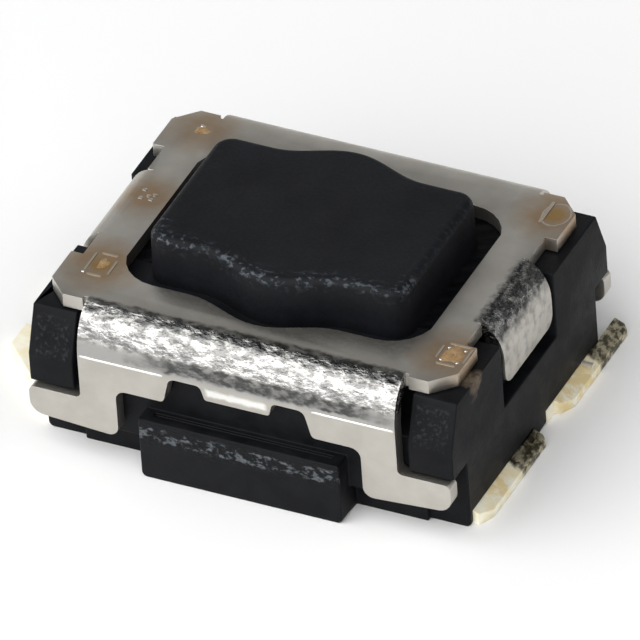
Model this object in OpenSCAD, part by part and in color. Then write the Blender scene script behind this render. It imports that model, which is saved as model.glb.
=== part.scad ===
// Surface-mount tactile push button switch, seen the way it sits on a board.
// X runs along the length, Y across it, Z up; z = 0 is the seating plane.

/* [Housing] */
// Length of the moulded housing along X
body_l = 4.22; // [4.0:0.01:4.6]
// Height of the cover's top face above the seating plane
plate_h = 1.64; // [1.58:0.01:1.8]
// Top of the floor that carries the contacts
floor_h = 0.32; // [0.28:0.01:0.4]
// Thickness of the end walls
end_wall = 0.22; // [0.15:0.01:0.26]
// Height of the lower wall, where the moulding is narrower
ledge_h = 0.30; // [0.26:0.01:0.34]
// How far the lower wall stays inside the sheet
ledge_in = 0.15; // [0.12:0.01:0.18]
// How much narrower the moulding is at its ends
skirt_step = 0.05; // [0.03:0.01:0.06]
// How far the lower wall runs past the legs
skirt_over = 0.13; // [0.11:0.01:0.16]
// Thickness of the rim that carries the cover along each side
rim_t = 0.07; // [0.05:0.01:0.08]
// Length of the block in the middle of each long side
block_l = 2.0; // [1.8:0.01:2.1]
// How far that block stands out past the cover
block_out = 0.03; // [0.01:0.01:0.08]
// Top of that block above the seating plane
block_h = 0.65; // [0.55:0.01:0.7]
// Distance of the groove on a block's top from its faces
groove_in = 0.12; // [0.08:0.01:0.14]
// Width of the groove
groove_w = 0.04; // [0.03:0.01:0.06]
// Depth of the groove
groove_d = 0.03; // [0.02:0.01:0.05]
// Length of each corner lug along X
lug_l = 0.44; // [0.38:0.01:0.46]
// How far a lug stays inside the walls' outer faces
lug_in = 0.06; // [0.04:0.01:0.08]
// Height of the upright lower part of a lug
lug_base = 0.3; // [0.22:0.01:0.32]
// How far a lug's top edge leans in from the moulding's side
lug_lean = 0.07; // [0.03:0.01:0.1]

/* [Cover] */
// Thickness of the sheet
sheet = 0.14; // [0.1:0.01:0.16]
// Distance between the outer faces of the two long walls
cover_w = 3.44; // [3.38:0.01:3.5]
// Gap between the end of a long wall and the lug beside it
lug_gap = 0.09; // [0.05:0.005:0.12]
// How far the ears stay inside the housing's ends
ear_in_x = 0.09; // [0.05:0.01:0.14]
// How far the ears stay inside the walls' outer faces
ear_in_y = 0.26; // [0.22:0.01:0.3]
// Corner cut of an ear
ear_cut = 0.2; // [0.1:0.01:0.3]
// Reach of the side bend inward from the wall's outer face
bend_in = 0.3; // [0.26:0.01:0.34]
// Height of the side bend
bend_h = 0.46; // [0.42:0.01:0.48]
// Relief slot between each long wall and the ears
ear_slot = 0.04; // [0.02:0.01:0.06]
// Width of each leg beside the lug
leg_w = 0.36; // [0.3:0.01:0.42]
// Underside of the legs above the seating plane
leg_z = 0.36; // [0.34:0.01:0.4]
// Height of the foot that reaches under the lug
foot_h = 0.35; // [0.3:0.01:0.38]
// How far a foot stays inside the housing's end
foot_in = 0.01; // [0.0:0.005:0.06]
// Lower edge of the wall between the leg and the notch
wall_z = 0.89; // [0.84:0.01:0.96]
// Half width of the short tab in the middle
mid_tab = 0.32; // [0.26:0.005:0.36]
// Width of the notch on each side of the short tab
notch_w = 0.38; // [0.34:0.01:0.42]
// Top of the notches
notch_z = 1.17; // [1.12:0.01:1.19]
// Lower edge of the short tab
mid_tab_z = 1.025; // [0.98:0.005:1.06]
// Width of the tab bent down at each end
end_tab_w = 1.0; // [0.7:0.01:1.1]
// Lower edge of the end tabs
end_tab_z = 0.98; // [0.94:0.01:1.06]
// Inward reach of the end bend
end_bend = 0.28; // [0.26:0.01:0.32]
// Height of the end bend
end_drop = 0.38; // [0.34:0.01:0.42]
// Open space between each end tab and the ears
relief = 0.355; // [0.3:0.005:0.37]
// Depth of that space from the housing's end
relief_in = 0.21; // [0.18:0.01:0.25]
// Room around an end tab in the moulding
tab_gap = 0.06; // [0.04:0.01:0.1]
// Room below an end tab in the moulding
tab_room = 0.2; // [0.1:0.01:0.24]
// Room under the bend of an end tab
bend_room = 0.2; // [0.16:0.01:0.24]

/* [Window and button] */
// Half length of the window
win_x = 1.53; // [1.47:0.01:1.55]
// Half width of the window at its shoulders
win_y = 1.06; // [1.0:0.01:1.08]
// How far the middle of each long side bulges out
bulge = 0.2; // [0.12:0.01:0.22]
// Half length of the bulge along X
bulge_x = 0.75; // [0.6:0.01:0.9]
// Corner radius of the window
win_r = 0.42; // [0.36:0.01:0.46]
// Gap between the button and the window
button_gap = 0.23; // [0.16:0.01:0.24]
// Height of the button's top above the cover
button_up = 0.36; // [0.3:0.01:0.45]
// Rounding of the button's top edge
button_r = 0.07; // [0.05:0.01:0.1]
// How far the button's flange reaches under the cover at each end
flange_over = 0.12; // [0.08:0.01:0.14]
// Thickness of the flange
flange_t = 0.26; // [0.15:0.01:0.3]
// Diameter of the plunger under the button
plunger_d = 0.9; // [0.7:0.05:1.2]
// Travel of the button
travel = 0.2; // [0.15:0.01:0.25]

/* [Terminals and contacts] */
// Thickness of the contact strip
strip = 0.15; // [0.13:0.01:0.18]
// Half of the space between the two strips
strip_in = 0.25; // [0.2:0.01:0.35]
// Outer edge of a terminal from the centre line
strip_out = 1.32; // [1.2:0.01:1.34]
// Reach of the right terminals past the housing
reach_right = 0.13; // [0.08:0.01:0.2]
// Reach of the left terminals past the housing
reach_left = 0.76; // [0.6:0.01:0.8]
// Corner cut of the right terminals
cut_right = 0.08; // [0.04:0.01:0.1]
// Corner cut of the left terminals
cut_left = 0.76; // [0.5:0.01:0.76]
// Thickness of the right terminals at their outer edge
lip = 0.09; // [0.06:0.01:0.12]
// Distance of the front right terminal from the middle
front_near = 0.02; // [0.01:0.01:0.1]
// Distance of the rear right terminal from the middle
rear_near = 0.42; // [0.36:0.01:0.5]
// Reach of the rear right terminal past the middle
rear_far = 1.74; // [1.6:0.01:1.75]
// Length of the strip from the housing's end to its step up
step_in = 0.2; // [0.15:0.01:0.3]
// Radius of the snap dome
dome_r = 0.95; // [0.8:0.01:1.0]
// Rise of the snap dome
dome_rise = 0.22; // [0.18:0.01:0.26]
// Thickness of the snap dome
dome_t = 0.05; // [0.04:0.01:0.06]
// Rise of the strips where they run inside the floor
bury = 0.09; // [0.07:0.01:0.1]
// Half width of the contact under the dome's centre
centre_pad = 0.2; // [0.12:0.01:0.25]
// Width of each contact under the dome's rim
rim_pad = 0.5; // [0.3:0.01:0.55]

/* [Fits] */
// Running clearance around the button's flange
flange_gap = 0.05; // [0.03:0.01:0.08]
// Clearance between the sheet and the moulding
seat_gap = 0.02; // [0.01:0.005:0.04]

/* [Hidden] */
$fn = 48;
eps = 0.01;
plate_z = plate_h - sheet;
wall_in = cover_w / 2 - sheet;
end_x = body_l / 2;
lug_x = end_x - lug_l;
leg_x = lug_x - lug_gap;
foot_x = end_x - foot_in;
bend_y = cover_w / 2 - bend_in;
block_y = cover_w / 2 + block_out;
moulding_y = wall_in - seat_gap;
skirt_y = wall_in - ledge_in;
end_y = skirt_y - skirt_step;
wall_x = leg_x + 0.1;
skirt_x = leg_x + skirt_over;
pocket_x = end_x - sheet - seat_gap;
cavity_x = pocket_x - end_wall;
flange_x = cavity_x - flange_gap;
flange_y = win_y + flange_over / 2;
cavity_y = flange_y + flange_gap;
seat_z = plate_z - seat_gap;
shoulder_z = plate_h - bend_h - sheet;
dome_z = floor_h + dome_rise + dome_t;
plunger_z = dome_z + seat_gap / 2;
lug_y = cover_w / 2 - lug_in;
lug_z = leg_z + foot_h + seat_gap;

// Outline of the window, or of what passes through it, moved inward by d.
function bump(x) = abs(x) < bulge_x ? bulge * (1 + cos(180 * x / bulge_x)) / 2 : 0;
function side(d) = let (x0 = win_x - win_r, n = 24)
    [for (i = [0 : n]) let (x = x0 - 2 * x0 * i / n) [x, win_y - d + bump(x)]];
function corner(d, a) = let (r = win_r - d, cx = win_x - win_r, cy = win_y - win_r, n = 6,
    sx = a < 90 || a >= 270 ? 1 : -1, sy = a < 180 ? 1 : -1)
    [for (i = [1 : n - 1]) [sx * cx + r * cos(a + 90 * i / n), sy * cy + r * sin(a + 90 * i / n)]];
function ring(d) = let (s = side(d), n = len(s))
    concat(corner(d, 0), s, corner(d, 90),
        corner(d, 180), [for (i = [0 : n - 1]) [-s[i][0], -s[i][1]]], corner(d, 270));

// A closed solid through equal rings of points, each ring at its own height.
module loft(rings, heights) {
    n = len(rings[0]);
    m = len(rings);
    pts = [for (k = [0 : m - 1]) for (p = rings[k]) [p[0], p[1], heights[k]]];
    skin = [for (k = [0 : m - 2]) for (i = [0 : n - 1])
        [k * n + i, (k + 1) * n + i, (k + 1) * n + (i + 1) % n, k * n + (i + 1) % n]];
    polyhedron(pts, concat([[for (i = [0 : n - 1]) i]], skin,
        [[for (i = [n - 1 : -1 : 0]) (m - 1) * n + i]]));
}

// Section of a bent sheet: flat, then an elliptical bend, then straight down to z.
function bend_pt(w, reach, drop, t, a) = [w - reach + (reach - t) * sin(a),
    plate_h - drop + (drop - t) * cos(a)];
function bend_section(w, reach, drop, x0, z) = concat(
    [[x0, plate_h]], [for (a = [0 : 9 : 90]) bend_pt(w, reach, drop, 0, a)],
    [[w, z], [w - sheet, z]], [for (a = [90 : -9 : 0]) bend_pt(w, reach, drop, sheet, a)],
    [[x0, plate_z]]);

// Polygon whose corners [x, y, r] are rounded to radius r.
function unit(v) = v / norm(v);
function turn(a) = a > 180 ? a - 360 : a < -180 ? a + 360 : a;
function fillet(a, b, c, r, n) = let (u = unit(a - b), v = unit(c - b), h = acos(u * v) / 2,
    m = b + unit(u + v) * r / sin(h), p = b + u * r / tan(h) - m, q = b + v * r / tan(h) - m,
    s = atan2(p[1], p[0]), d = turn(atan2(q[1], q[0]) - s))
    [for (i = [0 : n]) m + r * [cos(s + d * i / n), sin(s + d * i / n)]];
function xy(p) = [p[0], p[1]];
function rounded_corners(p, n = 5) = let (k = len(p)) [for (i = [0 : k - 1])
    each p[i][2] == 0 ? [xy(p[i])]
        : fillet(xy(p[(i + k - 1) % k]), xy(p[i]), xy(p[(i + 1) % k]), p[i][2], n)];
function mirrored(p) = concat(p, [for (i = [len(p) - 1 : -1 : 0]) [-p[i][0], p[i][1], p[i][2]]]);

module both_sides() { children(); rotate([0, 0, 180]) children(); }
module four_corners() { both_sides() { children(); mirror([1, 0, 0]) children(); } }
module box(x0, x1, y0, y1, z0, z1) { translate([x0, y0, z0]) cube([x1 - x0, y1 - y0, z1 - z0]); }
module rounded(x, y, r) {
    polygon(rounded_corners([[x, y, r], [-x, y, r], [-x, -y, r], [x, -y, r]]));
}

// Shape of one long wall seen from the front, with its legs, feet, notches and short tab.
module wall_shape() {
    foot_top = leg_z + foot_h;
    polygon(rounded_corners(mirrored([
        [leg_x, plate_h, 0], [leg_x, foot_top, 0.05], [foot_x, foot_top, 0.06],
        [foot_x, leg_z + 0.06, 0.14], [leg_x - leg_w, leg_z, 0.1], [leg_x - leg_w, wall_z, 0.1],
        [mid_tab + notch_w + 0.04, wall_z, 0.05], [mid_tab + notch_w - 0.03, notch_z, 0.08],
        [mid_tab + 0.04, notch_z, 0.06], [mid_tab, mid_tab_z, 0.03]])));
}

module long_wall() {
    intersection() {
        rotate([90, 0, -90]) translate([0, 0, -foot_x - eps])
            linear_extrude(2 * foot_x + 2 * eps)
                polygon(bend_section(cover_w / 2, bend_in, bend_h, bend_y - eps, 0));
        translate([0, 2 * eps - bend_y, 0]) rotate([90, 0, 0]) linear_extrude(cover_w / 2)
            wall_shape();
    }
}

module end_tab() {
    half = end_tab_w / 2;
    intersection() {
        rotate([90, 0, 0]) translate([0, 0, -half]) linear_extrude(end_tab_w)
            polygon(bend_section(end_x, end_bend, end_drop, end_x - end_bend - eps, end_tab_z));
        rotate([90, 0, 90]) linear_extrude(end_x + 1) polygon(rounded_corners(mirrored([
            [half, plate_h, 0], [half, end_tab_z, 0.12]])));
    }
}

module plate_shape() {
    x = end_x - ear_in_x;
    y = cover_w / 2 - ear_in_y;
    difference() {
        polygon([[x, y - ear_cut], [x - ear_cut, y], [ear_cut - x, y], [-x, y - ear_cut],
            [-x, ear_cut - y], [ear_cut - x, -y], [x - ear_cut, -y], [x, ear_cut - y]]);
        for (s = [-1, 1]) {
            translate([s * (end_x - end_bend / 2), 0])
                square([end_bend, end_tab_w], center = true);
            translate([s * (end_x - relief_in / 2), 0])
                square([relief_in, end_tab_w + 2 * relief], center = true);
            translate([0, s * (cover_w / 2 - bend_in / 2)])
                square([2 * leg_x + 2 * ear_slot, bend_in], center = true);
        }
    }
}

module cover() {
    color([0.62, 0.60, 0.57]) difference() {
        union() {
            translate([0, 0, plate_z]) linear_extrude(sheet) plate_shape();
            both_sides() {
                long_wall();
                end_tab();
            }
        }
        // window
        translate([0, 0, plate_z - sheet / 2]) linear_extrude(2 * sheet)
            polygon(ring(0));
    }
}

module lug() {
    translate([lug_x, 0, 0]) rotate([90, 0, 90]) linear_extrude(lug_l) polygon([
        [cavity_y, lug_z], [lug_y, lug_z], [lug_y, lug_z + lug_base],
        [moulding_y - lug_lean, seat_z], [cavity_y, seat_z]]);
}

module housing() {
    pocket_y = end_tab_w / 2 + tab_gap;
    color([0.16, 0.165, 0.175]) difference() {
        union() {
            // floor and outer walls up to the shoulder under the side bends
            box(-end_x, end_x, -end_y, end_y, 0, shoulder_z);
            box(-skirt_x, skirt_x, -skirt_y, skirt_y, 0, ledge_h);
            box(-wall_x, wall_x, -moulding_y, moulding_y, ledge_h, shoulder_z);
            box(-block_l / 2, block_l / 2, -block_y, block_y, 0, block_h);
            // rim that carries the plate
            box(-end_x, end_x, -cavity_y - rim_t, cavity_y + rim_t, 0, seat_z);
            four_corners() lug();
        }
        // cavity for the contacts and the button's flange
        translate([0, 0, floor_h]) linear_extrude(plate_h) rounded(cavity_x, cavity_y, 0.1);
        // pockets for the end tabs, open at the top for their bends
        both_sides() {
            box(pocket_x, end_x + 1, -pocket_y, pocket_y, end_tab_z - tab_room, plate_h);
            rotate([90, 0, 0]) translate([0, 0, -pocket_y]) linear_extrude(2 * pocket_y) polygon([
                [pocket_x - bend_room, plate_h], [pocket_x - bend_room, seat_z - seat_gap],
                [pocket_x + eps, seat_z - bend_room], [pocket_x + eps, plate_h]]);
        }
        // groove along the top of the blocks
        both_sides() translate([0, block_y - groove_in, block_h])
            cube([block_l - 2 * groove_in, groove_w, 2 * groove_d], center = true);
        outer_strip();
        centre_strip();
    }
}

// A contact strip with a terminal at each end. It steps up where it runs inside the floor.
module strip_solid() {
    x0 = end_x - step_in;
    x1 = x0 - strip;
    x2 = strip * 0.4;
    xl = end_x + reach_left;
    inner = strip_in + 0.62;
    intersection() {
        translate([0, 2, 0]) rotate([90, 0, 0]) linear_extrude(4) polygon([
            [-xl, 0], [-x0, 0], [-x1, bury], [x1, bury], [x0, 0], [end_x, 0],
            [end_x, strip], [x0 - x2, strip], [x1 - x2, bury + strip],
            [x2 - x1, bury + strip], [x2 - x0, strip], [-xl, strip]]);
        linear_extrude(floor_h) polygon([
            [-xl, -strip_in], [-xl, -strip_out + cut_left], [-xl + cut_left, -strip_out],
            [-x1, -strip_out], [-x1, -inner], [x1, -inner], [x1, -strip_out],
            [end_x, -strip_out], [end_x, -strip_in]]);
    }
}

// A terminal outside the right end, from y0 to y1, with its outer edge thinned to a lip.
module right_terminal(y0, y1) {
    intersection() {
        translate([0, y1, 0]) rotate([90, 0, 0]) linear_extrude(y1 - y0) polygon([
            [end_x - eps, 0], [end_x + reach_right, 0], [end_x + reach_right, lip],
            [end_x, strip], [end_x - eps, strip]]);
        linear_extrude(floor_h) polygon([[end_x - eps, y0], [end_x + reach_right - cut_right, y0],
            [end_x + reach_right, y0 + 2 * cut_right], [end_x + reach_right, y1 - cut_right / 2],
            [end_x + reach_right - cut_right / 2, y1], [end_x - eps, y1]]);
    }
}

module outer_strip() {
    pad_x = dome_r - rim_pad / 2 - 0.02;
    strip_solid();
    right_terminal(-strip_out, -front_near);
    for (s = [-1, 1]) translate([s * pad_x - rim_pad / 2, -strip_in - 0.4, floor_h - strip])
        cube([rim_pad, strip_in + 0.6, strip]);
}

module centre_strip() {
    mirror([0, 1, 0]) {
        strip_solid();
        translate([-centre_pad, -strip_in - 0.4, floor_h - strip])
            cube([2 * centre_pad, strip_in + 0.6, strip]);
    }
    right_terminal(rear_near, rear_far);
}

module outer_contact() {
    color([0.80, 0.70, 0.45]) outer_strip();
}

module centre_contact() {
    color([0.78, 0.69, 0.47]) centre_strip();
}

module dome() {
    r = (dome_r * dome_r + dome_rise * dome_rise) / (2 * dome_rise);
    color([0.75, 0.75, 0.72]) translate([0, 0, floor_h]) intersection() {
        translate([0, 0, dome_rise - r]) difference() {
            sphere(r + dome_t);
            sphere(r);
        }
        cylinder(h = 1, r = dome_r);
    }
}

module button() {
    top = plate_h + button_up;
    g = button_gap;
    steps = [for (a = [0 : 18 : 90]) a];
    rings = concat([ring(g)], [for (a = steps) ring(g + button_r * (1 - cos(a)))]);
    heights = concat([plate_z - travel / 2], [for (a = steps) top - button_r + button_r * sin(a)]);
    color([0.13, 0.13, 0.14]) {
        loft(rings, heights);
        translate([0, 0, plate_z - seat_gap - flange_t]) linear_extrude(flange_t)
            rounded(flange_x, flange_y, 0.08);
        translate([0, 0, plunger_z]) cylinder(h = plate_z - flange_t - plunger_z, d = plunger_d);
    }
}

housing();
cover();
button();
dome();
outer_contact();
centre_contact();
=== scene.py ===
# %% [markdown]
# # A miniature tactile switch
# The real object is about five millimetres long: a black moulded housing, a formed sheet-metal
# cover with a shaped window, a black button in the window, and flat gold terminals.
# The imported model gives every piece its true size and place, so this lesson adds what the
# exact solids lack: soft edges, stamped and welded marks, scuffs, and materials.

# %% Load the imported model
import bpy, bmesh, math
from mathutils import Matrix, Vector
from random import Random


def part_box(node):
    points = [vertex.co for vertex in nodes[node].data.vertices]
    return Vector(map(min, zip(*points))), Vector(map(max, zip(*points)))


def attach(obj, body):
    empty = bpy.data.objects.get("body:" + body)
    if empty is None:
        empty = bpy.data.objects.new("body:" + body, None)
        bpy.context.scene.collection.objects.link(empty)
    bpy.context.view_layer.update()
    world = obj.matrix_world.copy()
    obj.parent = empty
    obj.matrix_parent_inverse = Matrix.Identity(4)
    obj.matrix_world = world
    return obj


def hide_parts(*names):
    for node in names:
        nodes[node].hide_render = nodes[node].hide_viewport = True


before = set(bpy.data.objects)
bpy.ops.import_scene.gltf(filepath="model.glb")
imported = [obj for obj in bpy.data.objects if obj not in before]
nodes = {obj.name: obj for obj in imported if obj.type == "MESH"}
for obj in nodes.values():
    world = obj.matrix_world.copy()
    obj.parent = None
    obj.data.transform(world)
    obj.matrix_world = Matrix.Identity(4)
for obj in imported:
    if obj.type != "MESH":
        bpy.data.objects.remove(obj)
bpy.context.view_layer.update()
scene = bpy.context.scene
MM = 0.001

# %% [markdown]
# ## Sizes that the looks share
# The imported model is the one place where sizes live. The outer ones are read from its boxes, in
# millimetres. A box can't tell how thick the sheet and the strip are, or the outline of the
# window, so those repeat the values that the solids were drawn with. The window is a rounded
# rectangle whose long sides swell in the middle.

# %% Read the sizes
def box_mm(node):
    low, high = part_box(node)
    return Vector(low) / MM, Vector(high) / MM

cover_high = box_mm("cover")[1]
house_high = box_mm("housing")[1]
button_low, button_high = box_mm("button")
PLATE = cover_high.z
WALL_Y = cover_high.y
END_X = cover_high.x
SHEET = 0.14
UNDERSIDE = PLATE - SHEET
STRIP_TOP = 0.15
WINDOW = dict(x=1.53, y=1.06, bulge=0.20, bulge_x=0.75, r=0.42)
BUTTON_GAP = 0.23
print("plate top", round(PLATE, 3), "wall", round(WALL_Y, 3), "end", round(END_X, 3))

# %% [markdown]
# ## The camera
# The photograph was taken with a long lens from the front right, about 37 degrees above the
# table, and the picture is turned by about four degrees. With so long a lens parallel
# edges stay parallel, so one scale in pixels per millimetre places the whole object.

# %% Place the camera
AZIMUTH, ELEVATION, ROLL = 27.69, 37.35, 4.14
PIXELS_PER_MM = 110.92
FOCAL_PIXELS = 30000.0
FRAME_PIXELS = 640
PLATE_CENTRE_PIXEL = (313.9, 245.3)

def camera_axes():
    """The picture's right, its up, and the way back to the camera."""
    a, e, t = (math.radians(v) for v in (AZIMUTH, ELEVATION, ROLL))
    right = Vector((math.cos(a), math.sin(a), 0))
    up = Vector((-math.sin(a) * math.sin(e), math.cos(a) * math.sin(e), math.cos(e)))
    right, up = (right * math.cos(t) - up * math.sin(t), right * math.sin(t) + up * math.cos(t))
    return right, up, right.cross(up)

def place_camera():
    right, up, back = camera_axes()
    middle = FRAME_PIXELS / 2
    aim = (Vector((0, 0, PLATE)) + right * (middle - PLATE_CENTRE_PIXEL[0]) / PIXELS_PER_MM
           - up * (middle - PLATE_CENTRE_PIXEL[1]) / PIXELS_PER_MM) * MM
    camera = bpy.data.objects.new("camera", bpy.data.cameras.new("camera"))
    scene.collection.objects.link(camera)
    camera.data.sensor_width = 36.0
    camera.data.lens = camera.data.sensor_width * FOCAL_PIXELS / FRAME_PIXELS
    distance = FOCAL_PIXELS / PIXELS_PER_MM * MM
    camera.matrix_world = Matrix.Translation(aim + back * distance) @ Matrix(
        (right, up, back)).transposed().to_4x4()
    camera.data.clip_start, camera.data.clip_end = distance * 0.1, distance * 10
    scene.camera = camera
    return camera

camera = place_camera()
print("lens", round(camera.data.lens), "mm")

# %% [markdown]
# ## Helpers for materials
# A material is a small network. These helpers make a node, set its sockets by name and join it
# to what feeds it, so each recipe below reads as a list of what the surface does.

# %% Node helpers
def feed(tree, socket, value):
    """Gives a socket its value: an output of another node, a number or a colour."""
    if hasattr(value, "node"):
        tree.links.new(value, socket)
    else:
        socket.default_value = (*value, 1.0) if isinstance(value, tuple) else value

def node(tree, kind, links=None, **values):
    """Adds a node; values set its own properties or its inputs, links joins its inputs."""
    made = tree.nodes.new(kind)
    for name, value in values.items():
        if hasattr(made, name):
            setattr(made, name, value)
        else:
            made.inputs[name.replace("_", " ")].default_value = value
    for name, source in (links or {}).items():
        tree.links.new(source, made.inputs[name])
    return made

def math_node(tree, operation, first, second=None, clamp=False):
    made = node(tree, "ShaderNodeMath", operation=operation, use_clamp=clamp)
    for socket, value in zip(made.inputs, (first, second)):
        if value is not None:
            feed(tree, socket, value)
    return made.outputs[0]

def remap(tree, value, low, high, to_low=0.0, to_high=1.0):
    """Turns the span from low to high into the span from to_low to to_high, smoothly."""
    made = node(tree, "ShaderNodeMapRange", {"Value": value}, clamp=True,
                interpolation_type="SMOOTHSTEP")
    for name, number in (("From Min", low), ("From Max", high), ("To Min", to_low),
                         ("To Max", to_high)):
        made.inputs[name].default_value = number
    return made.outputs[0]

# %% Mixing
# the Mix node's factor, its two inputs and its output, for each kind of value
MIX_SOCKETS = {"FLOAT": (0, 2, 3, 0), "RGBA": (0, 6, 7, 2)}

def mix(tree, kind, *values):
    made = node(tree, "ShaderNodeMix", data_type=kind)
    *inputs, result = MIX_SOCKETS[kind]
    for index, value in zip(inputs, values):
        feed(tree, made.inputs[index], value)
    return made.outputs[result]

def mix_colour(tree, factor, first, second):
    return mix(tree, "RGBA", factor, first, second)

def mix_value(tree, factor, first, second):
    return mix(tree, "FLOAT", factor, first, second)

def product(tree, *masks):
    value = masks[0]
    for mask in masks[1:]:
        value = math_node(tree, "MULTIPLY", value, mask)
    return value

def largest(tree, *masks):
    value = masks[0]
    for mask in masks[1:]:
        value = math_node(tree, "MAXIMUM", value, mask)
    return value

# %% Groups and materials
FLOAT, POINT = "NodeSocketFloat", "NodeSocketVector"

def group(name, inputs, outputs):
    """A new shader node group with named sockets; returns it with its two end nodes."""
    tree = bpy.data.node_groups.new(name, "ShaderNodeTree")
    for label, kind, value in inputs:
        socket = tree.interface.new_socket(name=label, in_out="INPUT", socket_type=kind)
        socket.default_value = value
    for label, kind in outputs:
        tree.interface.new_socket(name=label, in_out="OUTPUT", socket_type=kind)
    return tree, tree.nodes.new("NodeGroupInput"), tree.nodes.new("NodeGroupOutput")

def use(tree, which, **values):
    """Places a group in a material, sets its inputs and returns its first output."""
    made = tree.nodes.new("ShaderNodeGroup")
    made.node_tree = which
    for name, value in values.items():
        made.inputs[name.replace("_", " ")].default_value = value
    return made.outputs[0]

def material(name, **settings):
    """A new material; settings go onto the shader's own sockets."""
    made = bpy.data.materials.new(name)
    made.use_nodes = True
    shader = made.node_tree.nodes["Principled BSDF"]
    for label, value in settings.items():
        shader.inputs[label.replace("_", " ")].default_value = value
    return made, made.node_tree, shader

def bump_into(tree, shader, height, strength, distance):
    made = node(tree, "ShaderNodeBump", {"Height": height}, Strength=strength,
                Distance=distance * MM)
    feed(tree, shader.inputs["Normal"], made.outputs[0])

# %% [markdown]
# ## Effects that several materials share
# Grain is a fine noise in millimetres, which can be stretched along one direction. A spot is a
# ragged round patch at a place on the object. A band is a soft-edged slab between two planes.
# All three work from the object's own coordinates, so they stay put in every view.

# %% Parts of the groups
def place_in_mm(tree):
    """Each point's own place on the object, in millimetres."""
    place = node(tree, "ShaderNodeTexCoord")
    return node(tree, "ShaderNodeVectorMath", {0: place.outputs["Object"]}, operation="SCALE",
                Scale=1 / MM).outputs[0]

def wobble(tree, place, scale, detail, amount):
    """A noise about nought, which makes an edge ragged."""
    noise = node(tree, "ShaderNodeTexNoise", {"Vector": place}, Scale=scale, Detail=detail)
    return math_node(tree, "MULTIPLY", math_node(tree, "SUBTRACT", noise.outputs[0], 0.5), amount)

def soft_step(tree, over, softness):
    """Nought on one side of an edge and one on the other, with a ramp as wide as softness."""
    return math_node(tree, "ADD", math_node(tree, "DIVIDE", over, softness), 0.5, clamp=True)

# %% Grain group
def grain_group():
    tree, given, out = group("grain", [
        ("Per mm", FLOAT, 20.0), ("Stretch", POINT, (1, 1, 1)), ("Detail", FLOAT, 4.0),
        ("Contrast", FLOAT, 1.0)], [("Height", FLOAT)])
    place = node(tree, "ShaderNodeTexCoord")
    scaled = node(tree, "ShaderNodeVectorMath",
                  {0: place.outputs["Object"], 1: given.outputs["Stretch"]}, operation="MULTIPLY")
    in_mm = node(tree, "ShaderNodeVectorMath", {0: scaled.outputs[0]}, operation="SCALE",
                 Scale=1 / MM)
    noise = node(tree, "ShaderNodeTexNoise", {
        "Vector": in_mm.outputs[0], "Scale": given.outputs["Per mm"],
        "Detail": given.outputs["Detail"]}, Roughness=0.6)
    centred = math_node(tree, "SUBTRACT", noise.outputs[0], 0.5)
    strong = math_node(tree, "MULTIPLY", centred, given.outputs["Contrast"])
    feed(tree, out.inputs["Height"], math_node(tree, "ADD", strong, 0.5, clamp=True))
    return tree

grain = grain_group()

def grained(tree, per_mm, detail, contrast, stretch=(1, 1, 1)):
    return use(tree, grain, Per_mm=per_mm, Detail=detail, Contrast=contrast, Stretch=stretch)

# %% Spot group
def spot_group():
    tree, given, out = group("spot", [
        ("Centre", POINT, (0, 0, 0)), ("Radius", FLOAT, 0.2), ("Softness", FLOAT, 0.1),
        ("Ragged", FLOAT, 0.05)], [("Mask", FLOAT)])
    place = place_in_mm(tree)
    away = node(tree, "ShaderNodeVectorMath", {0: place, 1: given.outputs["Centre"]},
                operation="DISTANCE")
    reach = math_node(tree, "ADD", away.outputs["Value"],
                      wobble(tree, place, 7.0, 3.0, given.outputs["Ragged"]))
    over = math_node(tree, "SUBTRACT", given.outputs["Radius"], reach)
    feed(tree, out.inputs["Mask"], soft_step(tree, over, given.outputs["Softness"]))
    return tree

spot = spot_group()

def patch(tree, centre, radius, softness, ragged):
    return use(tree, spot, Centre=centre, Radius=radius, Softness=softness, Ragged=ragged)

# %% Band group
def band_group():
    tree, given, out = group("band", [
        ("Axis", POINT, (0, 0, 1)), ("From", FLOAT, 0.0), ("To", FLOAT, 1.0),
        ("Softness", FLOAT, 0.02), ("Ragged", FLOAT, 0.0), ("Mirrored", FLOAT, 1.0)],
        [("Mask", FLOAT)])
    place = place_in_mm(tree)
    along = node(tree, "ShaderNodeVectorMath", {0: place, 1: given.outputs["Axis"]},
                 operation="DOT_PRODUCT").outputs["Value"]
    folded = mix_value(tree, given.outputs["Mirrored"], along,
                       math_node(tree, "ABSOLUTE", along))
    height = math_node(tree, "ADD", folded,
                       wobble(tree, place, 11.0, 4.0, given.outputs["Ragged"]))
    lower = math_node(tree, "SUBTRACT", height, given.outputs["From"])
    upper = math_node(tree, "SUBTRACT", given.outputs["To"], height)
    feed(tree, out.inputs["Mask"], product(tree, *(
        soft_step(tree, over, given.outputs["Softness"]) for over in (lower, upper))))
    return tree

band = band_group()
print("groups:", [g.name for g in bpy.data.node_groups])

# %% Ways to place a band
TO_RIGHT, TO_BACK, TO_FRONT, UP = (1, 0, 0), (0, 1, 0), (0, -1, 0), (0, 0, 1)
OPEN_END = 9.0

def slab(tree, axis, low, high, softness, ragged=0.0, both=True):
    """A band from low to high along an axis, on both sides of the middle or on one."""
    return use(tree, band, Axis=axis, From=low, To=high, Softness=softness, Ragged=ragged,
               Mirrored=float(both))

def past(tree, axis, low, softness, ragged=0.0, both=True):
    return slab(tree, axis, low, OPEN_END, softness, ragged, both)

def within(tree, axis, half, softness, ragged=0.0):
    return slab(tree, axis, -1.0, half, softness, ragged)

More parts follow.
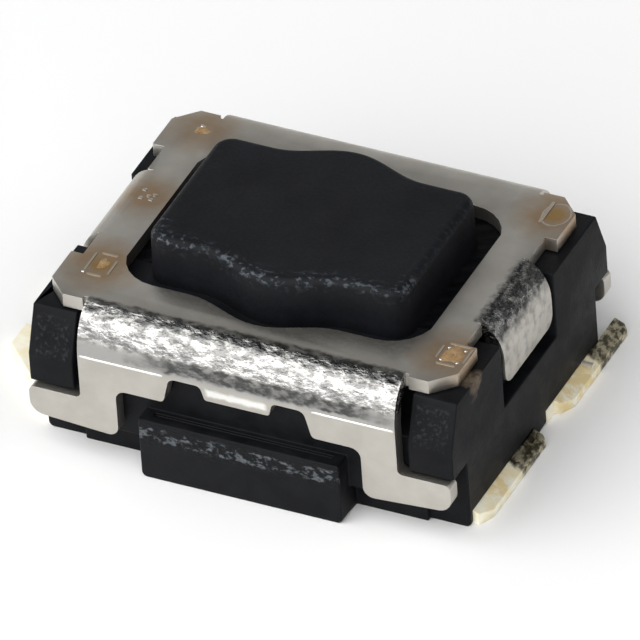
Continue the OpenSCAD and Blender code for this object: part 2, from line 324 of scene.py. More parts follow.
# %% [markdown]
# ## The cover's sheet
# Tinned sheet is satin grey. Where the tool has stretched it most, in the front bend and the
# bend of the right tab, it looks like orange peel: smooth bright grains with dark cracks between
# them. A painted dark reflection, grainy like the cracks, lies in a ragged line where the front
# bend begins, again low in the middle of the front bend, and over the bend of the right tab. The
# wall below that bend is satin again, with painted shade making it darker down to the crease,
# and so are the bends at the back and on the left. A painted highlight crosses the short middle
# tab. The five spots where the tool touched the ears have a brown halo.

# %% Places on the sheet
MARKS = [
    # x, y, half length, half width, kind
    (-1.68, 1.20, 0.10, 0.10, "blot"), (-1.72, 0.135, 0.085, 0.085, "pits"),
    (-1.675, -0.945, 0.115, 0.160, "frame"), (1.865, 1.19, 0.130, 0.165, "ring"),
    (1.865, -1.025, 0.135, 0.150, "frame"),
]
HALO_REACH = 0.17
BEND_START_Y = WALL_Y - 0.30
BEND_START_X = END_X - 0.28
BEND_FOOT = PLATE - 0.30
TAB_BEND_FOOT = PLATE - 0.17
CREASE_Z = PLATE - 0.455
LONG_BEND_HALF = 1.59
CRACKS_HALF = 1.57
END_TAB_HALF = 0.51
MIDDLE_TAB_HALF = 0.30

# %% Masks on the sheet
def long_bend_mask(tree):
    return product(tree, past(tree, TO_FRONT, BEND_START_Y + 0.03, 0.04, 0.05, both=False),
                   past(tree, UP, BEND_FOOT, 0.10, 0.08),
                   within(tree, TO_RIGHT, LONG_BEND_HALF, 0.01))

def end_bend_mask(tree):
    return product(tree, past(tree, TO_RIGHT, BEND_START_X + 0.02, 0.05, 0.05, both=False),
                   within(tree, TO_BACK, END_TAB_HALF, 0.01),
                   past(tree, UP, TAB_BEND_FOOT, 0.10, 0.08))

def below_bend_shade_mask(tree):
    """Painted shade: between the bend and the crease the front wall is painted a darker satin
    grey.
    """
    return product(tree, slab(tree, UP, CREASE_Z + 0.01, BEND_FOOT, 0.05, 0.04),
                   past(tree, TO_FRONT, WALL_Y - 0.06, 0.02, both=False))

def middle_tab_highlight_mask(tree):
    """A painted highlight: a bright band along the top of the short middle tab."""
    return product(tree, within(tree, TO_RIGHT, MIDDLE_TAB_HALF, 0.04, 0.05),
                   past(tree, TO_FRONT, WALL_Y - 0.05, 0.01, both=False),
                   slab(tree, UP, PLATE - 0.56, PLATE - 0.49, 0.03, 0.05))

def marks_mask(tree, grow, softness, ragged):
    return largest(tree, *(patch(tree, (x, y, PLATE), max(a, b) + grow, softness, ragged)
                           for x, y, a, b, kind in MARKS))

# %% Where the painted dark reflection lies
def bend_start_dark_reflection_mask(tree):
    """Painted dark reflection: the line where the front bend begins."""
    return product(tree, slab(tree, TO_FRONT, BEND_START_Y - 0.015, BEND_START_Y + 0.145, 0.04,
                              0.08, both=False),
                   past(tree, UP, PLATE - 0.10, 0.03), within(tree, TO_RIGHT, CRACKS_HALF, 0.02))

def low_bend_dark_reflection_mask(tree):
    """Painted dark reflection: the line low on the front bend, strongest near its middle."""
    return product(tree, slab(tree, UP, PLATE - 0.405, PLATE - 0.265, 0.03, 0.09),
                   past(tree, TO_FRONT, WALL_Y - 0.15, 0.02, both=False),
                   patch(tree, (0.25, -WALL_Y, BEND_FOOT), 1.15, 0.5, 0.5))

def tab_dark_reflection_mask(tree):
    """Painted dark reflection over the top of the right tab."""
    return product(tree, slab(tree, TO_RIGHT, BEND_START_X + 0.01, END_X - 0.03, 0.07, 0.16,
                              both=False), within(tree, TO_BACK, END_TAB_HALF, 0.01))

# %% Colours of the sheet
SATIN_GREYS = (0.495, 0.472, 0.428), (0.560, 0.538, 0.490)
GRAIN_GREYS = (0.25, 0.247, 0.24), (0.62, 0.61, 0.59)
# painted shade on the front wall between the bend and the crease
BELOW_BEND_SHADE_GREY = (0.42, 0.412, 0.397)
# a painted highlight across the short middle tab
MIDDLE_TAB_HIGHLIGHT = (0.92, 0.91, 0.88)
HALO_BROWN = (0.39, 0.265, 0.155)
CORE_BROWN = (0.42, 0.27, 0.11)
# the dark cracks in the grain, and the painted dark reflection at the bends
CRACK_AND_DARK_REFLECTION_GREY = (0.058, 0.060, 0.059)

def sheet_colour(tree, bent, broad, peel, cracks):
    grey = mix_colour(tree, remap(tree, broad, 0.2, 0.8), *SATIN_GREYS)
    grains = mix_colour(tree, remap(tree, cracks, 0.2, 0.8), *GRAIN_GREYS)
    # painted shade on the wall below the front bend
    with_painted_shade = mix_colour(tree, below_bend_shade_mask(tree), mix_colour(tree, bent, grey, grains),
                          BELOW_BEND_SHADE_GREY)
    # the painted highlight on the middle tab
    highlighted = mix_colour(tree, middle_tab_highlight_mask(tree), with_painted_shade, MIDDLE_TAB_HIGHLIGHT)
    halo = product(tree, marks_mask(tree, HALO_REACH, 0.28, 0.18),
                   remap(tree, broad, 0.1, 0.7, 0.55, 0.9))
    haloed = mix_colour(tree, halo, highlighted, HALO_BROWN)
    cored = mix_colour(tree, marks_mask(tree, -0.07, 0.07, 0.12), haloed, CORE_BROWN)
    # the painted dark reflection, grainy like the cracks
    dark_reflection = product(tree, largest(tree, bend_start_dark_reflection_mask(tree), low_bend_dark_reflection_mask(tree),
                                    tab_dark_reflection_mask(tree)),
                      remap(tree, cracks, 0.25, 0.90, 1.0, 0.50))
    single = product(tree, bent, remap(tree, peel, 0.12, 0.36, 0.55, 0.0))
    cracks_and_dark_reflection = math_node(tree, "MULTIPLY", largest(tree, dark_reflection, single), 0.93)
    return mix_colour(tree, cracks_and_dark_reflection, cored, CRACK_AND_DARK_REFLECTION_GREY)

# %% Sheet material
def sheet_cracks(tree):
    """Branching cracks that run along each bend."""
    on_tab = past(tree, TO_RIGHT, BEND_START_X - 0.1, 0.02, both=False)
    return mix_value(tree, on_tab, grained(tree, 17.0, 4.0, 2.6, (0.5, 1, 1)),
                     grained(tree, 15.0, 4.0, 2.6, (1, 0.7, 1)))

def sheet_material():
    made, tree, shader = material("satin_sheet", Metallic=1.0)
    fine = grained(tree, 38.0, 3.0, 1.0)
    broad = grained(tree, 3.0, 2.0, 1.4)
    peel = grained(tree, 18.0, 3.0, 2.1, (0.6, 1, 1))
    bent = largest(tree, long_bend_mask(tree), end_bend_mask(tree))
    feed(tree, shader.inputs["Base Color"],
         sheet_colour(tree, bent, broad, peel, sheet_cracks(tree)))
    satin = remap(tree, fine, 0.2, 0.8, 0.36, 0.46)
    shiny = remap(tree, peel, 0.2, 0.8, 0.30, 0.16)
    feed(tree, shader.inputs["Roughness"], mix_value(tree, bent, satin, shiny))
    relief = math_node(tree, "ADD", product(tree, peel, bent),
                       math_node(tree, "MULTIPLY", fine, 0.05))
    bump_into(tree, shader, relief, 0.9, 0.014)
    return made

satin_sheet = sheet_material()
print(satin_sheet.name, "has", len(satin_sheet.node_tree.nodes), "nodes")

# %% [markdown]
# ## The moulded blacks
# The housing is a stiff moulding with a faint eroded texture, slightly grey where light grazes
# it, with a scuffed band across the face of the middle block. The button is a softer black. Its
# top edge is rubbed pale blue-grey in short strokes, which also paint the edge's highlight, so
# its mesh carries an edge value that the strokes follow.

# %% Marks on the housing
BLOCK_TOP = 0.65
LUG_X = END_X - 0.42
LUG_PATCH_FOOT = 1.03

def block_scuffs(tree, torn):
    """The scuffed band across the upper half of each block's face."""
    return product(tree, past(tree, TO_BACK, house_high.y - 0.02, 0.01),
                   slab(tree, UP, BLOCK_TOP - 0.24, BLOCK_TOP - 0.04, 0.08, 0.05), torn)

def lug_patches(tree):
    """The rough patch on the outer face of each lug."""
    return product(tree, slab(tree, TO_RIGHT, LUG_X + 0.03, END_X - 0.06, 0.03, 0.03),
                   past(tree, TO_BACK, WALL_Y - 0.24, 0.01),
                   slab(tree, UP, LUG_PATCH_FOOT, UNDERSIDE - 0.10, 0.03, 0.04))

def flux_stain(tree, torn):
    """Flux has run down beside the front right ear."""
    return product(tree, past(tree, TO_RIGHT, house_high.x - 0.10, 0.02, both=False),
                   patch(tree, (house_high.x, -1.10, PLATE - 0.20), 0.125, 0.06, 0.2),
                   remap(tree, torn, 0.0, 0.8, 0.45, 1.0))

# %% Housing material
HOUSING_BLACKS = (0.0042, 0.0046, 0.0056), (0.0078, 0.0084, 0.0098)
SPECK_GREY = (0.07, 0.075, 0.085)
SCUFF_GREY = (0.15, 0.165, 0.18)
STAIN_BROWN = (0.135, 0.105, 0.075)

def housing_material():
    made, tree, shader = material("moulded_black", Metallic=0.0, Specular_IOR_Level=0.11)
    fine = grained(tree, 30.0, 4.0, 1.6)
    broad = grained(tree, 4.0, 3.0, 1.5)
    pitted = grained(tree, 26.0, 5.0, 2.6)
    torn = grained(tree, 18.0, 5.0, 3.2, (0.75, 1, 1.1))
    scuffed, rough_lug = block_scuffs(tree, torn), lug_patches(tree)
    flecks = math_node(tree, "MULTIPLY", remap(tree, scuffed, 0.50, 0.95), 0.6)
    specks = product(tree, rough_lug, remap(tree, pitted, 0.50, 0.95), 0.3)
    base = mix_colour(tree, remap(tree, broad, 0.2, 0.8), *HOUSING_BLACKS)
    worn = mix_colour(tree, flecks, mix_colour(tree, specks, base, SPECK_GREY), SCUFF_GREY)
    feed(tree, shader.inputs["Base Color"],
         mix_colour(tree, flux_stain(tree, torn), worn, STAIN_BROWN))
    feed(tree, shader.inputs["Roughness"], remap(tree, broad, 0.2, 0.8, 0.46, 0.60))
    marked = math_node(tree, "ADD", math_node(tree, "MULTIPLY", scuffed, 1.8),
                       product(tree, rough_lug, pitted))
    bump_into(tree, shader, math_node(tree, "ADD", math_node(tree, "MULTIPLY", fine, 0.25),
                                      marked), 0.7, 0.010)
    return made

moulded_black = housing_material()

# %% Button material
BUTTON_BLACKS = (0.0046, 0.0051, 0.0067), (0.0084, 0.0090, 0.0114)
# the rubbed edge colour, which is also a painted edge highlight
RUBBED_BLUE_AND_SHEEN = (0.115, 0.135, 0.155)

def button_material():
    made, tree, shader = material("button_black", Metallic=0.0, Specular_IOR_Level=0.15)
    fine = grained(tree, 26.0, 4.0, 1.4)
    strokes = grained(tree, 21.0, 6.0, 3.4, (0.7, 1, 1))
    broad = grained(tree, 2.2, 2.0, 2.2)
    worn = node(tree, "ShaderNodeAttribute", attribute_name="edge_wear_and_sheen")
    # pale strokes along the top edge: partly rubbed wear, partly a painted edge highlight
    wear_and_sheen_strokes = product(tree, worn.outputs["Fac"], remap(tree, strokes, 0.52, 0.92))
    feed(tree, shader.inputs["Base Color"],
         mix_colour(tree, math_node(tree, "MULTIPLY", wear_and_sheen_strokes, 0.75),
                    mix_colour(tree, broad, *BUTTON_BLACKS), RUBBED_BLUE_AND_SHEEN))
    feed(tree, shader.inputs["Roughness"], remap(tree, fine, 0.2, 0.8, 0.48, 0.62))
    bump_into(tree, shader, math_node(tree, "ADD", math_node(tree, "MULTIPLY", fine, 0.4),
                                      wear_and_sheen_strokes), 0.6, 0.006)
    return made

button_black = button_material()
print("blacks:", moulded_black.name, button_black.name)

# %% [markdown]
# ## The gold plating
# The terminals are thin gold on a rolled strip. Near the front of each right terminal the
# plating is smooth and pale; toward the back it is rough and dark, with bright specks. The middle
# of the rear one and a patch on the front one are a deeper gold. The rest of the strip is smooth.

# %% Gold material
FRONT_ROUGH_Y = -0.55, 0.10
REAR_ROUGH_Y = 1.14
DEEP_GOLD_Y = 0.42
PALE_GOLDS = (0.98, 0.95, 0.80), (0.92, 0.83, 0.58)
DEEP_GOLD = (0.84, 0.68, 0.36)
ROUGH_GOLDS = (0.10, 0.088, 0.05), (0.62, 0.56, 0.40)

def gold_material():
    made, tree, shader = material("gold_plate")
    streak = grained(tree, 7.0, 4.0, 2.0, (0.8, 1.0, 1))
    pits = grained(tree, 13.0, 5.0, 2.8, (1, 0.8, 1))
    right = past(tree, TO_RIGHT, END_X - 0.1, 0.02, both=False)
    rough = product(tree, right, largest(
        tree, slab(tree, TO_BACK, *FRONT_ROUGH_Y, 0.06, 0.12, both=False),
        past(tree, TO_BACK, REAR_ROUGH_Y, 0.06, 0.12, both=False)))
    deep = product(tree, right, largest(
        tree, slab(tree, TO_BACK, DEEP_GOLD_Y, REAR_ROUGH_Y, 0.08, 0.10, both=False),
        patch(tree, (END_X, -0.86, STRIP_TOP), 0.17, 0.12, 0.2)), remap(tree, streak, 0.2, 0.65))
    smooth = mix_colour(tree, deep, mix_colour(tree, remap(tree, streak, 0.2, 0.8), *PALE_GOLDS),
                        DEEP_GOLD)
    pitted = mix_colour(tree, remap(tree, pits, 0.35, 0.8), *ROUGH_GOLDS)
    feed(tree, shader.inputs["Base Color"], mix_colour(tree, rough, smooth, pitted))
    feed(tree, shader.inputs["Metallic"], remap(tree, rough, 0, 1, 0.12, 0.9))
    feed(tree, shader.inputs["Roughness"], remap(tree, streak, 0.3, 0.8, 0.30, 0.44))
    bump_into(tree, shader, math_node(tree, "ADD", math_node(tree, "MULTIPLY", streak, 0.3),
                                      product(tree, rough, pits)), 0.7, 0.018)
    return made

gold_plate = gold_material()

# %% Dome material
def dome_material():
    made, tree, shader = material("spring_steel", Metallic=1.0)
    fine = grained(tree, 20.0, 3.0, 1.2, (0.2, 1, 1))
    feed(tree, shader.inputs["Base Color"],
         mix_colour(tree, fine, (0.50, 0.50, 0.48), (0.66, 0.66, 0.64)))
    feed(tree, shader.inputs["Roughness"], remap(tree, fine, 0.2, 0.8, 0.22, 0.34))
    bump_into(tree, shader, fine, 0.3, 0.004)
    return made

spring_steel = dome_material()
print("metals:", satin_sheet.name, gold_plate.name, spring_steel.name)

# %% [markdown]
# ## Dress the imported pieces
# The housing, cover, contacts and dome already have the right shape. Each keeps its mesh and
# gets its material, and a narrow bevel turns the knife-sharp edges of an exact solid into the
# soft ones of a moulding or a stamping.

# %% Helpers for soft edges
FLAT_WITHIN = math.radians(0.5)
SHARP_FROM = math.radians(32)

def join_faces(piece):
    """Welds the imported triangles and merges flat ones, so that a bevel can follow real edges."""
    if "joined" not in piece.modifiers:
        piece.modifiers.new("joined", "WELD").merge_threshold = 0.0001 * MM
        flat = piece.modifiers.new("flat_faces", "DECIMATE")
        flat.decimate_type, flat.angle_limit = "DISSOLVE", FLAT_WITHIN

def by_angle(piece, angle=35):
    """Smooth shading, but sharp where two faces meet at more than this angle."""
    piece.data.polygons.foreach_set("use_smooth", [True] * len(piece.data.polygons))
    piece.data.set_sharp_from_angle(angle=math.radians(angle))

def dress(name, finish, edge, segments=2, clamp=True):
    """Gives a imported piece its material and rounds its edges; edge 0 leaves them sharp."""
    piece = nodes[name]
    piece.data.materials.clear()
    piece.data.materials.append(finish)
    for face in piece.data.polygons:
        face.material_index = 0
        face.use_smooth = True
    if not edge:
        by_angle(piece)
        return
    join_faces(piece)
    soft = piece.modifiers.new("soft_edges", "BEVEL")
    soft.width, soft.segments = edge * MM, segments
    soft.limit_method, soft.angle_limit = "ANGLE", SHARP_FROM
    soft.harden_normals, soft.use_clamp_overlap = True, clamp

# %% Round the low corners of the housing
BLOCK_X, BLOCK_FROM_Y = 1.00, 1.40
LOW_CORNER, LOW_CORNER_SEGMENTS = 0.055, 4
FOOT_HEIGHT, NEAR = 0.07, 0.02

def is_low_corner(a, b):
    """Whether an edge runs from front to back along the foot of the housing or of a block."""
    on_block = (abs(abs(a.x) - BLOCK_X) < NEAR
                and min(abs(a.y), abs(b.y)) > BLOCK_FROM_Y)
    return (abs((b - a).normalized().y) > 0.99 and max(a.z, b.z) < FOOT_HEIGHT
            and (abs(a.x) > house_high.x - NEAR or on_block))

def round_low_corners(piece):
    mesh = piece.data
    weight = mesh.attributes.new("bevel_weight_edge", "FLOAT", "EDGE")
    for edge in mesh.edges:
        if is_low_corner(*(mesh.vertices[i].co / MM for i in edge.vertices)):
            weight.data[edge.index].value = 1.0
    join_faces(piece)
    soft = piece.modifiers.new("low_corners", "BEVEL")
    soft.width, soft.segments = LOW_CORNER * MM, LOW_CORNER_SEGMENTS
    soft.limit_method, soft.use_clamp_overlap = "WEIGHT", False

round_low_corners(nodes["housing"])

# %% Dress them
dress("housing", moulded_black, 0.016, 3, clamp=False)
dress("cover", satin_sheet, 0.014, 3)
dress("outer_contact", gold_plate, 0.012)
dress("centre_contact", gold_plate, 0.012)
dress("dome", spring_steel, 0)
print("dressed:", sorted(nodes))

# %% [markdown]
# ## The button
# The button is a short column with the window's outline. On the real one the top edge is well
# rounded and the wall leans in slightly. A ring of points is moved inward and upward step by
# step, as in lofting a hull, which gives an even mesh that shades smoothly.

# %% Outline of the window, moved inward
LEAST_CORNER = 0.05
SIDE_STEPS, CORNER_STEPS, END_STEPS = 72, 12, 24

def swell(x):
    """How far a long side stands out at this place."""
    if abs(x) >= WINDOW["bulge_x"]:
        return 0.0
    return WINDOW["bulge"] * (1 + math.cos(math.pi * x / WINDOW["bulge_x"])) / 2

def outline(inset):
    r = max(WINDOW["r"] - inset, LEAST_CORNER)
    cx, cy = WINDOW["x"] - inset - r, WINDOW["y"] - inset - r
    half = []
    for i in range(CORNER_STEPS):
        a = math.pi / 2 * i / CORNER_STEPS
        half.append((cx + r * math.cos(a), cy + r * math.sin(a)))
    for i in range(SIDE_STEPS + 1):
        x = cx - 2 * cx * i / SIDE_STEPS
        half.append((x, WINDOW["y"] - inset + swell(x)))
    for i in range(1, CORNER_STEPS):
        a = math.pi / 2 * (1 + i / CORNER_STEPS)
        half.append((-cx + r * math.cos(a), cy + r * math.sin(a)))
    half += [(-WINDOW["x"] + inset, cy - 2 * cy * i / END_STEPS) for i in range(END_STEPS)]
    return half + [(-x, -y) for x, y in half]

def rounded_box(x, y, r, steps=6):
    points = []
    for k, (sx, sy) in enumerate(((1, 1), (-1, 1), (-1, -1), (1, -1))):
        for i in range(steps + 1):
            a = math.pi / 2 * (k + i / steps)
            points.append((sx * (x - r) + r * math.cos(a), sy * (y - r) + r * math.sin(a)))
    return points

# %% Mesh helpers
def mesh_of(name, bm):
    mesh = bpy.data.meshes.new(name)
    bm.to_mesh(mesh)
    bm.free()
    return mesh

def new_piece(name, bm, finish, body, angle):
    """Makes an object of a mesh, with its material and body, sharp above an angle."""
    piece = bpy.data.objects.new(name, mesh_of(name, bm))
    scene.collection.objects.link(piece)
    piece.data.materials.append(finish)
    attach(piece, body)
    by_angle(piece, angle)
    return piece

def corner(bm, x, y, z):
    """A new vertex at a place in millimetres."""
    return bm.verts.new(Vector((x, y, z)) * MM)

def loft(bm, rings):
    """Faces between closed rings of equal length, in millimetres; returns the vertices."""
    made = [[corner(bm, *point) for point in ring] for ring in rings]
    for low, high in zip(made, made[1:]):
        for i in range(len(low)):
            j = (i + 1) % len(low)
            bm.faces.new((low[i], low[j], high[j], high[i]))
    return made

def strip(bm, low, high, flip=False):
    """Faces between two open rows of vertices."""
    for i in range(len(low) - 1):
        face = (low[i], low[i + 1], high[i + 1], high[i])
        bm.faces.new(face[::-1] if flip else face)

def prism(bm, points, z0, z1):
    rings = loft(bm, [[(x, y, z) for x, y in points] for z in (z0, z1)])
    bm.faces.new(rings[1])
    bm.faces.new(rings[0][::-1])

# %% Rings of the button, their wear and their painted edge highlight
BUTTON_EDGE = 0.08
BUTTON_WALL_LEAN = 0.012
ROUND_STEPS = 12
# how far inside the rounded edge each ring of the top lies, and how much rubbed wear and painted
# edge highlight it carries
TOP_RINGS = (0.02, 0.55), (0.05, 0.15), (0.09, 0.03), (0.13, 0), (0.3, 0), (0.5, 0)

def button_rings():
    top = button_high.z
    rings, ring_wear_and_sheen = [], []
    def add(inset, z, rub_and_sheen):
        rings.append([(x, y, z) for x, y in outline(BUTTON_GAP + inset)])
        ring_wear_and_sheen.append(rub_and_sheen)
    add(0, UNDERSIDE - 0.1, 0)
    for share in (0.0, 0.25, 0.5, 0.75):
        add(BUTTON_WALL_LEAN * share, UNDERSIDE + share * (top - BUTTON_EDGE - UNDERSIDE), 0)
    for i in range(ROUND_STEPS + 1):
        a = math.pi / 2 * i / ROUND_STEPS
        add(BUTTON_WALL_LEAN + BUTTON_EDGE * (1 - math.cos(a)),
            top - BUTTON_EDGE + BUTTON_EDGE * math.sin(a), math.sin(2 * a) ** 0.5 if i else 0.2)
    for more, rub_and_sheen in TOP_RINGS:
        add(BUTTON_WALL_LEAN + BUTTON_EDGE + more, top, rub_and_sheen)
    return rings, ring_wear_and_sheen

# along the front edge: up to which x, and how much rubbed wear and painted edge highlight that run
# gets
WEAR_AND_SHEEN_RUNS = (-1.24, 0.10), (-0.82, 1.0), (-0.50, 0.40), (0.5, 0.85), (OPEN_END, 0.6)
FRONT_EDGE_Y = -0.5

def exposure(x, y):
    """How much rubbed wear and painted edge highlight this part of the edge gets: most along the
    front, in three runs.
    """
    if y > FRONT_EDGE_Y:
        return 0.10
    return next(rub_and_sheen for end, rub_and_sheen in WEAR_AND_SHEEN_RUNS if x < end)

def store_wear_and_sheen(mesh, rings, ring_wear_and_sheen):
    """Writes the rubbed wear and painted edge highlight of each ring's points, which come first in
    the mesh.
    """
    values = mesh.attributes.new("edge_wear_and_sheen", "FLOAT", "POINT")
    at = 0
    for ring, rub_and_sheen in zip(rings, ring_wear_and_sheen):
        for x, y, z in ring:
            values.data[at].value = rub_and_sheen * exposure(x, y)
            at += 1

# %% Build the button
FLANGE_PLAY, FLANGE_THICK, FLANGE_CORNER = 0.02, 0.26, 0.08
STEM_R, STEM_STEPS, STEM_OVERLAP = 0.45, 48, 0.01

def build_button():
    bm = bmesh.new()
    rings, ring_wear_and_sheen = button_rings()
    made = loft(bm, rings)
    bm.faces.new(made[-1])
    bm.faces.new(made[0][::-1])
    flange_z = UNDERSIDE - FLANGE_PLAY
    prism(bm, rounded_box(button_high.x, button_high.y, FLANGE_CORNER),
          flange_z - FLANGE_THICK, flange_z)
    turns = [i * 2 * math.pi / STEM_STEPS for i in range(STEM_STEPS)]
    prism(bm, [(STEM_R * math.cos(a), STEM_R * math.sin(a)) for a in turns],
          button_low.z, flange_z - FLANGE_THICK + STEM_OVERLAP)
    piece = new_piece("button_cap", bm, button_black, "actuator", 40)
    store_wear_and_sheen(piece.data, rings, ring_wear_and_sheen)
    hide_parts("button")
    return piece

button_cap = build_button()
print("button faces:", len(button_cap.data.polygons))

# %% [markdown]
# ## Marks on the ears
# Each mark is a shallow frame or ring pressed up by a tool, with a small glassy blob of burnt
# flux inside. They are real relief, a few thousandths of a millimetre high, so that they catch
# the light from any side.

# %% Bright and pressed tin
def tin(name, roughness, per_mm, contrast, stretch, dull, bright):
    made, tree, shader = material(name, Metallic=1.0, Roughness=roughness)
    feed(tree, shader.inputs["Base Color"],
         mix_colour(tree, grained(tree, per_mm, 3.0, contrast, stretch), dull, bright))
    return made

bright_tin = tin("bright_tin", 0.24, 14.0, 2.0, (0.5, 1, 1), (0.72, 0.71, 0.69),
                 (0.97, 0.96, 0.94))
pressed_tin = tin("pressed_tin", 0.36, 20.0, 1.6, (1, 1, 1), (0.50, 0.43, 0.34),
                  (0.66, 0.61, 0.53))

# %% Flux material
def flux_material():
    made, tree, shader = material("burnt_flux", Metallic=0.0)
    speck = grained(tree, 14.0, 4.0, 2.4)
    feed(tree, shader.inputs["Base Color"],
         mix_colour(tree, speck, (0.21, 0.115, 0.045), (0.38, 0.25, 0.12)))
    feed(tree, shader.inputs["Roughness"], remap(tree, speck, 0.2, 0.8, 0.18, 0.4))
    bump_into(tree, shader, speck, 0.7, 0.01)
    return made

burnt_flux = flux_material()

# %% Shapes that the marks are made of
SEATED = 0.002
RIDGE_SECTION = (-0.5, 0.0), (-0.36, 0.6), (0.0, 1.0), (0.36, 0.6), (0.5, 0.0)
BLOB_STEPS = 18
BLOB_RINGS = (1.0, -0.15), (0.86, 0.45), (0.55, 0.85), (0.2, 1.0)

def ridge(bm, path, width, height):
    """A low rounded ridge that follows a closed path of points on the plate."""
    n = len(path)
    rows = []
    for i, point in enumerate(path):
        way = (Vector(path[(i + 1) % n]) - Vector(path[i - 1])).normalized()
        rows.append([corner(bm, point[0] + way.y * s * width, point[1] - way.x * s * width,
                            PLATE - SEATED + h * height) for s, h in RIDGE_SECTION])
    for i in range(n):
        strip(bm, rows[i], rows[(i + 1) % n])

def wobbly(points, rng, amount):
    return [(x + rng.uniform(-amount, amount), y + rng.uniform(-amount, amount))
            for x, y in points]

def blob(bm, x, y, rx, ry, height, rng):
    """A low dome with a wavy rim."""
    phase = rng.uniform(0, 6.28)
    turns = [2 * math.pi * i / BLOB_STEPS for i in range(BLOB_STEPS)]
    waves = [1 + 0.16 * math.sin(3 * a + phase) + 0.08 * math.sin(5 * a) for a in turns]
    rings = loft(bm, [[(x + rx * size * wave * math.cos(a), y + ry * size * wave * math.sin(a),
                        PLATE + height * level) for a, wave in zip(turns, waves)]
                      for size, level in BLOB_RINGS])
    bm.faces.new(rings[-1])

def stroke(bm, ends, width, height):
    """A short raised stroke with pointed ends, from one point to another."""
    (x0, y0), (x1, y1) = ends
    way = Vector((x1 - x0, y1 - y0)).normalized() * width / 2
    across = Vector((-way.y, way.x))
    path = [(x0 - way.x, y0 - way.y), (x0 + across.x, y0 + across.y),
            (x1 + across.x, y1 + across.y), (x1 + way.x, y1 + way.y),
            (x1 - across.x, y1 - across.y), (x0 - across.x, y0 - across.y)]
    if across.x * way.y - across.y * way.x < 0:
        path.reverse()
    prism(bm, path, PLATE - SEATED, PLATE + height)

# %% The kinds of mark
RING_STEPS = 28
PITS = (-0.076, 0.086), (0.068, 0.035), (0.056, -0.054), (-0.062, -0.057), (0.01, 0.0)

def frame_mark(ridges, dots, flux, x, y, a, b, rng):
    """Four strokes round burnt flux, with one bright dot on the left ear and five on the right."""
    corners = [(x + sx * a, y + sy * b) for sx, sy in ((1, -1), (1, 1), (-1, 1), (-1, -1))]
    for k in range(4):
        (x0, y0), (x1, y1) = corners[k], corners[(k + 1) % 4]
        start, stop = rng.uniform(0.05, 0.25), rng.uniform(0.75, 0.95)
        stroke(ridges, ((x0 + (x1 - x0) * start, y0 + (y1 - y0) * start),
                        (x0 + (x1 - x0) * stop, y0 + (y1 - y0) * stop)), 0.021, 0.004)
    if x < 0:
        blob(flux, x + 0.01, y + 0.02, a * 0.42, b * 0.50, 0.003, rng)
        blob(dots, x - a, y - b * 0.9, 0.018, 0.015, 0.005, rng)
        return
    for sx, sy in ((1, 1), (-1, 1), (-1, -1), (1, -1), (0.1, 0.3)):
        blob(dots, x + sx * a * 0.60, y + sy * b * 0.62, 0.016, 0.013, 0.006, rng)
    blob(flux, x, y, a * 0.80, b * 0.82, 0.004, rng)

def ring_mark(ridges, dots, flux, x, y, a, b, rng):
    """An oval ridge with a stroke along its left side."""
    turns = [i * 2 * math.pi / RING_STEPS for i in range(RING_STEPS)]
    oval = [(x + a * math.cos(t), y + b * math.sin(t)) for t in turns]
    ridge(ridges, wobbly(oval, rng, 0.003), 0.024, 0.004)
    stroke(ridges, ((x - a + 0.03, y - b * 0.9), (x - a + 0.03, y + b * 0.95)), 0.034, 0.007)

def pits_mark(ridges, dots, flux, x, y, a, b, rng):
    """Five small bumps, like a worn cross."""
    for px, py in PITS:
        blob(ridges, x + px * 0.85, y + py * 0.85, 0.028, 0.024, 0.004, rng)

def blot_mark(ridges, dots, flux, x, y, a, b, rng):
    """A blot of flux with one bright drop on it."""
    blob(flux, x, y, a * 0.75, b * 0.6, 0.004, rng)
    blob(dots, x - 0.024, y + 0.055, 0.024, 0.020, 0.008, rng)

# %% Build the marks
KINDS = dict(frame=frame_mark, ring=ring_mark, pits=pits_mark, blot=blot_mark)

def build_marks():
    rng = Random(7)
    layers = [bmesh.new() for _ in range(3)]
    for x, y, a, b, kind in MARKS:
        KINDS[kind](*layers, x, y, a, b, rng)
    for name, bm, finish in zip(("mark_ridges", "mark_dots", "mark_flux"), layers,
                                (pressed_tin, bright_tin, burnt_flux)):
        piece = new_piece(name, bm, finish, "base", 60)
        print(name, "faces:", len(piece.data.polygons))

build_marks()

# %% [markdown]
# ## The crease on the long walls
# Where the bend ends, the forming tool left a thin raised line that shines on both sides of the
# short middle tab. A rounded bead a few hundredths of a millimetre wide gives that line.

# %% Build the creases
CREASE_SPANS = (-1.565, -0.73), (0.75, 1.565)
CREASE_STEPS, BEAD_STEPS = 24, 6
BEAD_SEAT, BEAD_RISE, BEAD_HALF = 0.004, 0.012, 0.013

def crease_rows(bm, side, x0, x1):
    """Half-round sections of the bead, lower toward both ends."""
    turns = [math.pi * k / BEAD_STEPS for k in range(BEAD_STEPS + 1)]
    rows = []
    for i in range(CREASE_STEPS + 1):
        x = x0 + (x1 - x0) * i / CREASE_STEPS
        taper = min(1.0, 5 * min(i, CREASE_STEPS - i) / CREASE_STEPS + 0.35)
        rows.append([corner(bm, x, side * (WALL_Y - BEAD_SEAT + BEAD_RISE * taper * math.sin(a)),
                            CREASE_Z + BEAD_HALF * math.cos(a)) for a in turns])
    return rows

def build_creases():
    bm = bmesh.new()
    for side in (-1, 1):
        for x0, x1 in CREASE_SPANS:
            rows = crease_rows(bm, side, x0, x1)
            for low, high in zip(rows, rows[1:]):
                strip(bm, low, high, flip=side < 0)
    return new_piece("wall_creases", bm, bright_tin, "base", 60)

print("crease faces:", len(build_creases().data.polygons))

# %% [markdown]
# ## The fold on the rear right terminal
# One terminal was nipped by the cutting tool, which left a bright raised fold across it.

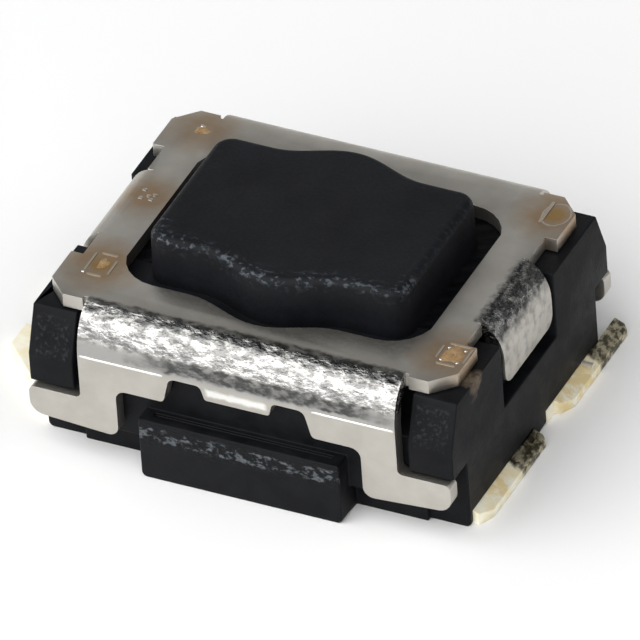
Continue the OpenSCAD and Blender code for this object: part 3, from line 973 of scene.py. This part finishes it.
# %% Build the fold
FOLD_Y, FOLD_WIDTH, FOLD_HEIGHT = 1.01, 0.07, 0.026
FOLD_STEPS = 8
FOLD_ENDS = house_high.x + 0.004, box_mm("centre_contact")[1].x - 0.012

def build_fold():
    finish = material("bright_gold", Metallic=0.6, Roughness=0.3,
                      Base_Color=(0.96, 0.90, 0.72, 1))[0]
    bm = bmesh.new()
    turns = [math.pi * k / FOLD_STEPS for k in range(FOLD_STEPS + 1)]
    near, far = ([corner(bm, x, FOLD_Y - FOLD_WIDTH / 2 * math.cos(a),
                         STRIP_TOP - SEATED + FOLD_HEIGHT * math.sin(a)) for a in turns]
                 for x in FOLD_ENDS)
    for k in range(FOLD_STEPS):
        bm.faces.new((near[k], far[k], far[k + 1], near[k + 1]))
    bm.faces.new(near)
    bm.faces.new(far[::-1])
    return new_piece("terminal_fold", bm, finish, "base", 50)

print("fold faces:", len(build_fold().data.polygons))

# %% [markdown]
# ## Table and light
# The photograph is a plain product shot: a white ground, a broad soft light from the front
# and above, a weaker one from the right, and a grey surround that the metal mirrors. The world
# gives the surround, grey at the horizon and darker overhead and to the right, so that the
# bends show dark and bright.

# %% Floor
def build_floor():
    bm = bmesh.new()
    bmesh.ops.create_grid(bm, x_segments=1, y_segments=1, size=0.5)
    floor = bpy.data.objects.new("table", mesh_of("table", bm))
    scene.collection.objects.link(floor)
    floor.data.materials.append(material("white_table", Roughness=0.9,
                                         Base_Color=(0.96, 0.96, 0.96, 1))[0])

build_floor()

# %% Lights
def softbox(name, place, size, power):
    """A rectangular light at a place, turned toward the object."""
    data = bpy.data.lights.new(name, "AREA")
    data.shape, data.size, data.size_y = "RECTANGLE", size[0], size[1]
    data.energy = power
    lamp = bpy.data.objects.new(name, data)
    scene.collection.objects.link(lamp)
    lamp.location = place
    lamp.rotation_mode = "QUATERNION"
    lamp.rotation_quaternion = Vector(place).to_track_quat("Z", "Y")

softbox("key", (-0.020, -0.070, 0.070), (0.22, 0.14), 0.224)
softbox("fill", (0.080, 0.010, 0.065), (0.08, 0.08), 0.018)

# %% Surround
# how high above the horizon, and how bright the grey is there
SKY = [(0.0, 0.62), (0.25, 0.58), (0.62, 0.50), (0.80, 0.19), (1.0, 0.09)]
RIGHT_SHADE = 0.33

def build_world():
    world = bpy.data.worlds.new("surround")
    scene.world = world
    world.use_nodes = True
    tree = world.node_tree
    background = tree.nodes["Background"]
    place = node(tree, "ShaderNodeTexCoord")
    apart = node(tree, "ShaderNodeSeparateXYZ", {0: place.outputs["Generated"]})
    ramp = node(tree, "ShaderNodeValToRGB", {0: apart.outputs["Z"]})
    while len(ramp.color_ramp.elements) < len(SKY):
        ramp.color_ramp.elements.new(0.5)
    for element, (at, grey) in zip(ramp.color_ramp.elements, SKY):
        element.position, element.color = at, (grey, grey, grey, 1)
    feed(tree, background.inputs["Color"], ramp.outputs[0])
    feed(tree, background.inputs["Strength"],
         remap(tree, apart.outputs["X"], -0.25, 0.20, 1.0, RIGHT_SHADE))

build_world()
scene.view_settings.view_transform = "Standard"
print("lights:", [light.name for light in bpy.data.lights], "world:", scene.world.name)

# %% [markdown]
# ## Update the scene

# %% Update the scene
bpy.context.view_layer.update()
